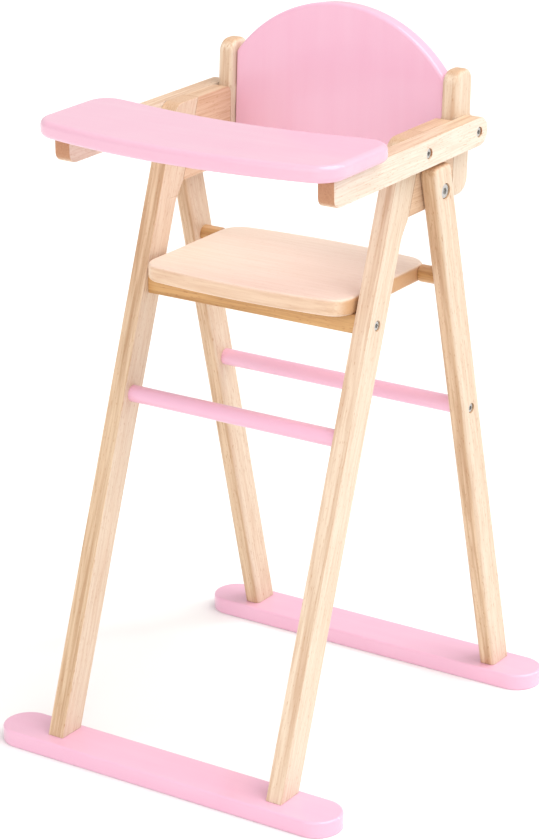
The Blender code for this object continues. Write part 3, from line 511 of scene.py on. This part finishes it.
# Seat rail: a square bar of wood, screwed between the front legs from their outer sides. Its
# darker, more orange tones are partly its own and partly painted shade from the seat above it.
# The front of the seat lies on it.
DEEP_AND_SHADED_TONES = ((0.725, 0.48, 0.26), (0.59, 0.345, 0.155), (0.655, 0.385, 0.155),
              (0.47, 0.25, 0.085))
rail_edge = 0.0015
low, high = rail_box
rail = block("rail_under_seat", low, high)
for level in (low.z, high.z):
    round_edges(rail, rail_edge, 3, lambda middle, run: abs(run.x) > parallel
                and abs(middle.z - level) < near)
rail_wood = wood("wood_rail", ALONG_X, 2, 0, 15, DEEP_AND_SHADED_TONES)
finish(rail, "front_frame", "natural_wood", rail_wood, "seat_rail")

# Cross dowels: round pink rods that tie each pair of legs together, glued in blind holes.
# The rear one is also held by a screw at each end.
dowel_edge = 0.0008
dowel_sides = 64


def rod_along_x(name, start, end, middle, radius, sides):
    """A round rod across the chair, from one X to another."""
    bpy.ops.object.select_all(action="DESELECT")
    bpy.ops.mesh.primitive_cylinder_add(vertices=sides, radius=radius, depth=abs(end - start),
                                        location=((start + end) / 2, middle.y, middle.z),
                                        rotation=(0.0, math.pi / 2, 0.0))
    piece = bpy.context.object
    piece.name = name
    bpy.ops.object.transform_apply(location=True, rotation=True, scale=True)
    return piece


for name, body in (("front_dowel", "front_frame"), ("rear_dowel", "rear_frame")):
    low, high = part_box(name)
    rod = rod_along_x(name + "_painted", low.x, high.x, (low + high) / 2,
                      (high.z - low.z) / 2, dowel_sides)
    for level in (low.x, high.x):
        round_edges(rod, dowel_edge, 3, rim_test(0, level))
    rod_paint = paint("pink_satin_" + name, ALONG_X, PINK, DEEP_PINK)
    finish(rod, body, "pink_paint", rod_paint, name)

# Arms: level bars outside the leg heads, boards and posts, with a full-round rear end.
# The tray is screwed down on their front half.  Two sunk screws hold each arm.
ARM_TONES = ((0.82, 0.705, 0.595), (0.79, 0.655, 0.54), (0.81, 0.62, 0.455), (0.66, 0.45, 0.30))
# The arms' end grain is darker than the rest: partly its own tone, partly painted shade on the
# front ends, which face away from the light.
ARM_END_GRAIN_AND_SHADE = (0.50, 0.25, 0.13)
arm_rim = 0.0036
arm_nose = 0.0075
arm_nose_top = 0.0030
arm_joint_edge = 0.0007
arm_end_flat = 0.0003       # the hair of flat at the rear end keeps its inner rim sharp
arm_screws = [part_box("arm_front_screw_right"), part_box("arm_rear_screw_right")]
for side, sign in SIDES:
    low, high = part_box("arm_" + side)
    inner, outer = inner_and_outer(low, high, sign)
    arm = block("arm_bar_" + side, low, high)
    full_round = (high.z - low.z) * almost_half
    round_edges(arm, full_round, 16, lambda middle, run: abs(run.x) > parallel
                and middle.y > high.y - near)
    round_edges(arm, arm_nose, 8, lambda middle, run: abs(run.x) > parallel
                and middle.y < low.y + near and middle.z < low.z + near)
    round_edges(arm, arm_nose_top, 4, lambda middle, run: abs(run.x) > parallel
                and middle.y < low.y + near and middle.z > high.z - near)
    round_edges(arm, arm_rim, 6, rim_test(0, outer))
    round_edges(arm, arm_rim, 6, lambda middle, run: rim_test(0, inner)(middle, run)
                and (middle.z < low.z + arm_nose + near or middle.y < low.y + arm_nose_top + near)
                and middle.y < high.y - arm_end_flat)
    round_edges(arm, arm_joint_edge, 2, lambda middle, run: rim_test(0, inner)(middle, run)
                and abs(run.y) > parallel and middle.z > high.z - near)
    for screw_low, screw_high in arm_screws:
        sunk_hole(arm, sign, outer, (screw_low + screw_high) / 2, screw_hole)
    grain = wood("wood_arm_" + side, ALONG_Y, 0, 1, 19 + sign, ARM_TONES, ARM_END_GRAIN_AND_SHADE)
    finish(arm, "front_frame", "natural_wood", grain, "arm_" + side)

# Tray: a pink board with a bowed front edge and a hollow rear edge, all corners and rims well
# rounded.  It is screwed from below through the arms.
TRAY_PINK = (0.80, 0.475, 0.595)
TRAY_DEEP_PINK = (0.77, 0.375, 0.52)
tray_low, tray_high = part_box("tray")
tray_rear = -0.0335
tray_bow = 0.0165
tray_hollow = 0.0135
tray_front_corner = 0.0170
tray_rear_corner = 0.0190
tray_rim = 0.0060
tray_half = tray_high.x
horn = tray_half - tray_rear_corner
horn_slope = 0.0851
column_slack = 0.0001
edge_slack = 0.00001
corner_slack = 0.0005


def bowed_board(name, low, high, columns, corner, front_curve, rear_curve):
    """A flat sheet whose long edges are pulled into curves, then given its thickness."""
    bpy.ops.object.select_all(action="DESELECT")
    bpy.ops.mesh.primitive_plane_add(size=1, location=((low.x + high.x) / 2,
                                                       (low.y + high.y) / 2, low.z))
    piece = bpy.context.object
    piece.name = name
    piece.scale = (high.x - low.x, high.y - low.y, 1.0)
    bpy.ops.object.transform_apply(location=True, rotation=True, scale=True)
    pick(piece, "EDGE", lambda middle, run: abs(run.x) > parallel)
    bpy.ops.mesh.subdivide(number_cuts=columns - 1)
    bpy.ops.object.mode_set(mode="OBJECT")
    for column in range(columns + 1):
        x = low.x + (high.x - low.x) * column / columns
        for edge_y, curve in ((low.y, front_curve), (high.y, rear_curve)):
            slide(piece, lambda co: abs(co.x - x) < column_slack
                  and abs(co.y - edge_y) < edge_slack, (0.0, curve(x), 0.0))
    select_only(piece)
    pick(piece, "EDGE", lambda middle, run: abs(run.y) > parallel
         and high.x - corner - corner_slack < abs(middle.x) < high.x - corner_slack)
    bpy.ops.mesh.dissolve_edges(use_verts=True)
    bpy.ops.mesh.select_all(action="SELECT")
    thickness = (0.0, 0.0, high.z - low.z)
    bpy.ops.mesh.extrude_region_move(TRANSFORM_OT_translate={"value": thickness})
    bpy.ops.mesh.select_all(action="SELECT")
    bpy.ops.mesh.normals_make_consistent(inside=False)
    bpy.ops.object.mode_set(mode="OBJECT")
    return piece


def round_corners(piece, half_width, steps, *corners):
    """Rounds the corners of a board at both ends; each is a place in Y and a width."""
    for spot, width in corners:
        round_edges(piece, width, steps, lambda middle, run: abs(run.z) > parallel
                    and abs(middle.x) > half_width - near
                    and abs(middle.y - spot) < corner_slack)


def tray_rear_curve(x):
    hollow = tray_hollow * (x / horn) ** 2
    straight = tray_hollow - (tray_half - abs(x)) * horn_slope
    return min(hollow, straight) - tray_hollow


tray = bowed_board("tray_board", tray_low, Vector((tray_high.x, tray_rear, tray_high.z)), 28,
                   tray_rear_corner, lambda x: tray_bow * (x / tray_half) ** 2, tray_rear_curve)
round_corners(tray, tray_half, 16, (tray_low.y + tray_bow, tray_front_corner),
              (tray_rear, tray_rear_corner))
for level in (tray_low.z, tray_high.z):
    round_edges(tray, tray_rim, 8, rim_test(2, level))
tray_paint = paint("pink_satin_tray", ALONG_X, TRAY_PINK, TRAY_DEEP_PINK)
finish(tray, "front_frame", "pink_paint", tray_paint, "tray")

# Rear legs: bars outside the side boards that swing about the pivot bolts.  Their heads stop just
# below the arm and are rounded in front, so that they clear it.  They carry the seat's dowels.
rear_low, rear_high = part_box("rear_leg_right")
rear_run = 0.02571          # the leg's width, measured level
rear_rim = 0.0036
rear_head_front = 0.0095
rear_head_back = 0.0030
bolt_hole = 0.0059
pivot_low, pivot_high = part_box("pivot_bolt_right")
pivot_middle = (pivot_low + pivot_high) / 2
rear_head = pivot_middle.y - rear_run / 2
rear_slope = (rear_high.y - rear_run - rear_head) / (pivot_middle.z - rear_low.z)
rear_turn = (math.atan(rear_slope), 0.0, 0.0)


def rear_edge(z):
    return rear_head + (pivot_middle.z - z) * rear_slope


rear_screw_low, rear_screw_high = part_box("rear_dowel_screw_right")
rear_screw = (rear_screw_low + rear_screw_high) / 2
for side, sign in SIDES:
    low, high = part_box("rear_leg_" + side)
    inner, outer = inner_and_outer(low, high, sign)
    leg = block("leg_rear_" + side, (low.x, rear_edge(low.z), low.z),
                (high.x, rear_edge(low.z) + rear_run, high.z))
    head_middle = rear_edge(high.z) + rear_run / 2
    slide(leg, lambda co: co.z > high.z - near, (0.0, rear_edge(high.z) - rear_edge(low.z), 0.0))
    round_edges(leg, rear_head_front, 8, lambda middle, run: abs(run.x) > parallel
                and middle.z > high.z - near and middle.y < head_middle)
    round_edges(leg, rear_head_back, 4, lambda middle, run: abs(run.x) > parallel
                and middle.z > high.z - near and middle.y > head_middle)
    for level in (low.x, high.x):
        round_edges(leg, rear_rim, 6, lambda middle, run: rim_test(0, level)(middle, run)
                    and middle.z > low.z + leg_sharp_foot)
    sunk_hole(leg, sign, outer, pivot_middle, bolt_hole)
    sunk_hole(leg, sign, outer, rear_screw, screw_hole)
    grain = wood("wood_leg_rear_" + side, rear_turn, 0, 2, 23 + sign, LEG_TONES)
    finish(leg, "rear_frame", "natural_wood", grain, "rear_leg_" + side)

# Seat: a wooden board with slightly bowed front and rear edges and rounded corners, grain across.
# It turns on two short wooden dowels let into the rear legs, and its front lies on the rail.
# Each dowel is turned down to a thinner tenon where it enters the seat.
SEAT_TONES = ((0.90, 0.765, 0.635), (0.88, 0.745, 0.61), (0.80, 0.60, 0.43), (0.70, 0.48, 0.32))
SEAT_END = (0.64, 0.38, 0.20)
seat_low, seat_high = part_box("seat_panel")
seat_bow = 0.0060
seat_dissolve = 0.0190      # the curve's points this close to the ends give way to the corners
seat_front_corner = 0.0150
seat_rear_corner = 0.0160
seat_rim = 0.0030
shoulder_gap = 0.0002
tenon_shoulder = seat_high.x + shoulder_gap
tenon_radius = 0.0045
rim_share = 0.97            # edges past this share of a dowel's radius belong to its rim


def seat_curve(x):
    return seat_bow * (x / seat_high.x) ** 2


seat = bowed_board("seat_board", seat_low, seat_high, 16, seat_dissolve, seat_curve,
                   lambda x: -seat_curve(x))
round_corners(seat, seat_high.x, 14, (seat_low.y + seat_bow, seat_front_corner),
              (seat_high.y - seat_bow, seat_rear_corner))
for level in (seat_low.z, seat_high.z):
    round_edges(seat, seat_rim, 6, rim_test(2, level))
grain = wood("wood_seat", ALONG_X, 2, 0, 31, SEAT_TONES, SEAT_END, figure=0.35)
finish(seat, "seat", "natural_wood", grain, "seat_panel")


def turn_down(piece, sign, step, length):
    """Draws a thinner round out of a rod's inner end; the step is the drop in radius."""
    pick(piece, "FACE", lambda centre, normal: normal.x * sign < -parallel)
    bpy.ops.mesh.inset(thickness=step)
    bpy.ops.mesh.extrude_region_move(TRANSFORM_OT_translate={"value": (length, 0.0, 0.0)})
    bpy.ops.object.mode_set(mode="OBJECT")


for side, sign in SIDES:
    low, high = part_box("seat_pivot_" + side)
    inner, outer = inner_and_outer(low, high, sign)
    middle_line = (low + high) / 2
    shoulder = sign * tenon_shoulder
    radius = (high.z - low.z) / 2
    stub = rod_along_x("seat_dowel_" + side, outer, shoulder, middle_line, radius, dowel_sides)
    turn_down(stub, sign, radius - tenon_radius, inner - shoulder)
    for level in (outer, shoulder):
        round_edges(stub, dowel_edge, 3, lambda middle, run: rim_test(0, level)(middle, run)
                    and math.hypot(middle.y - middle_line.y, middle.z - middle_line.z)
                    > radius * rim_share)
    # The seat's dowels take the rail's deep tones, painted shade included.
    grain = wood("wood_seat_dowel_" + side, ALONG_X, 2, 0, 35 + sign, DEEP_AND_SHADED_TONES)
    finish(stub, "seat", "natural_wood", grain, "seat_pivot_" + side)

# Screws: steel screws with a round, slightly domed head and a hexagon socket, sunk in round
# holes.  The two pivot bolts are larger.  Pins, sleeves and the screws from below keep their
# solids and only get their finish.
screw_head_radius = 0.0037
screw_shank_radius = 0.0018
screw_socket = 0.0032
bolt_head_radius = 0.0055
bolt_head_height = 0.0032
bolt_shank_radius = 0.0028
bolt_socket = 0.0050
head_dome = 0.0005
head_sides = 48
socket_cutter = 0.0030      # half of it lies in the head
patch_shade = 0.6           # how dark the steel's patches are beside the rest of it


def steel(name, colour, roughness):
    """Zinc-plated steel with fine marks and darker, duller patches."""
    material, shader, place = new_finish(name)
    link = material.node_tree.links.new
    shader.inputs["Metallic"].default_value = 1.0
    patches = noise(material, place.outputs["Object"], Scale=900.0, Detail=4.0)
    blend = mix_colours(material, patches, colour, tuple(part * patch_shade for part in colour))
    link(blend, shader.inputs["Base Color"])
    dull = spread(material, patches, 0.0, 1.0, roughness - 0.08, roughness + 0.12)
    link(dull, shader.inputs["Roughness"])
    add_relief(material, shader, patches, 0.08, 0.0002)
    return material


screw_steel = steel("screw_zinc", (0.68, 0.67, 0.65), 0.30)


def turned_screw(node, body, sign, head_radius, head_height, socket, shank_radius):
    """Turns head and shank in one piece, domes the rim and presses the hexagon socket."""
    low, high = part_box(node)
    middle_line = (low + high) / 2
    inner, outer = inner_and_outer(low, high, sign)
    step_x = outer - sign * head_height
    screw = rod_along_x(node + "_turned", outer, step_x, middle_line, head_radius, head_sides)
    turn_down(screw, sign, head_radius - shank_radius, inner - step_x)
    round_edges(screw, head_dome, 4, rim_test(0, outer))
    bpy.ops.object.select_all(action="DESELECT")
    bpy.ops.mesh.primitive_cylinder_add(vertices=6, radius=socket / 2 / math.cos(math.pi / 6),
                                        depth=socket_cutter,
                                        location=(outer, middle_line.y, middle_line.z),
                                        rotation=(0.0, math.pi / 2, 0.0))
    shape_with(screw, bpy.context.object, "DIFFERENCE")
    finish(screw, body, "screw_steel", screw_steel, node, angle=28)


for side, sign in SIDES:
    for name, body in (("arm_front_screw_", "front_frame"), ("arm_rear_screw_", "front_frame"),
                       ("seat_rail_screw_", "front_frame"), ("rear_dowel_screw_", "rear_frame")):
        turned_screw(name + side, body, sign, screw_head_radius, screw_head_height,
                     screw_socket, screw_shank_radius)
    turned_screw("pivot_bolt_" + side, "front_frame", sign, bolt_head_radius, bolt_head_height,
                 bolt_socket, bolt_shank_radius)

# The pins take the rail's deep tones, painted shade included.
pin_wood = wood("wood_pins", ALONG_X, 2, 0, 41, DEEP_AND_SHADED_TONES)
for name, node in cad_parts.items():
    if "_pin_" in name:
        node.material_slots[0].material = pin_wood
    if "insert" in name or "runner_screw" in name or "tray_screw" in name:
        node.material_slots[0].material = screw_steel

# Camera at the photograph's viewing angle, with a long lens.  Direction, roll, place and focal
# length come from fitting the chair's corners to the picture, which is 840 pixels high.
azimuth = math.radians(33.67)
elevation = math.radians(20.40)
roll = math.radians(-0.48)
camera_place = (1.1394, -1.7159, 1.0103)
focal_pixels = 2867.0
picture_height = 840.0
sensor = 36.0
away = Vector((math.sin(azimuth) * math.cos(elevation),
               -math.cos(azimuth) * math.cos(elevation), math.sin(elevation)))
across = Vector((math.cos(azimuth), math.sin(azimuth), 0.0))
upright = away.cross(across)
turned_right = across * math.cos(roll) + upright * math.sin(roll)
turned_up = upright * math.cos(roll) - across * math.sin(roll)
camera_data = bpy.data.cameras.new("photo_camera")
camera = bpy.data.objects.new("photo_camera", camera_data)
bpy.context.scene.collection.objects.link(camera)
placed = camera.matrix_world.copy()
for column, direction in enumerate((turned_right, turned_up, away, camera_place)):
    for row in range(3):
        placed[row][column] = direction[row]
camera.matrix_world = placed
camera_data.sensor_width = sensor
camera_data.lens = focal_pixels * sensor / picture_height
camera_data.clip_end = 20.0
bpy.context.scene.camera = camera
bpy.context.scene.view_settings.view_transform = "Standard"

# Studio: a wide pale matt floor, an even bright surround and three lights: a very soft one from
# above on the right, a weaker soft one from the front, and a faint one from behind for the rims.
FLOOR_WHITE = (0.93, 0.93, 0.93, 1.0)
SURROUND_WHITE = (1.0, 0.985, 0.97, 1.0)
floor_size = 60.0
floor_roughness = 0.9
floor_gloss = 0.2
surround_strength = 0.70
bpy.ops.object.select_all(action="DESELECT")
bpy.ops.mesh.primitive_plane_add(size=floor_size, location=(0.0, 0.0, 0.0))
floor = bpy.context.object
floor.name = "floor"
floor_material = bpy.data.materials.new("pale_floor")
floor_material.use_nodes = True
floor_shader = floor_material.node_tree.nodes["Principled BSDF"]
floor_shader.inputs["Base Color"].default_value = FLOOR_WHITE
floor_shader.inputs["Roughness"].default_value = floor_roughness
floor_shader.inputs["Specular IOR Level"].default_value = floor_gloss
floor.data.materials.append(floor_material)

world = bpy.data.worlds.new("studio")
bpy.context.scene.world = world
world.use_nodes = True
surround = world.node_tree.nodes["Background"]
surround.inputs["Color"].default_value = SURROUND_WHITE
surround.inputs["Strength"].default_value = surround_strength


def sun(name, towards, strength, spread_degrees, colour):
    """A source far away, so that the floor is lit evenly; a wide spread makes it soft."""
    light = bpy.data.lights.new(name, "SUN")
    light.energy = strength
    light.angle = math.radians(spread_degrees)
    light.color = colour
    holder = bpy.data.objects.new(name, light)
    bpy.context.scene.collection.objects.link(holder)
    holder.rotation_euler = Vector(towards).to_track_quat("-Z", "Y").to_euler()


sun("key", (-0.50, -0.12, -0.86), 2.15, 56.0, (1.0, 0.985, 0.965))
sun("front_fill", (-0.10, 0.92, -0.38), 0.75, 60.0, (1.0, 0.99, 0.98))
sun("rim", (-0.58, -0.68, -0.45), 0.30, 8.0, (1.0, 1.0, 1.0))
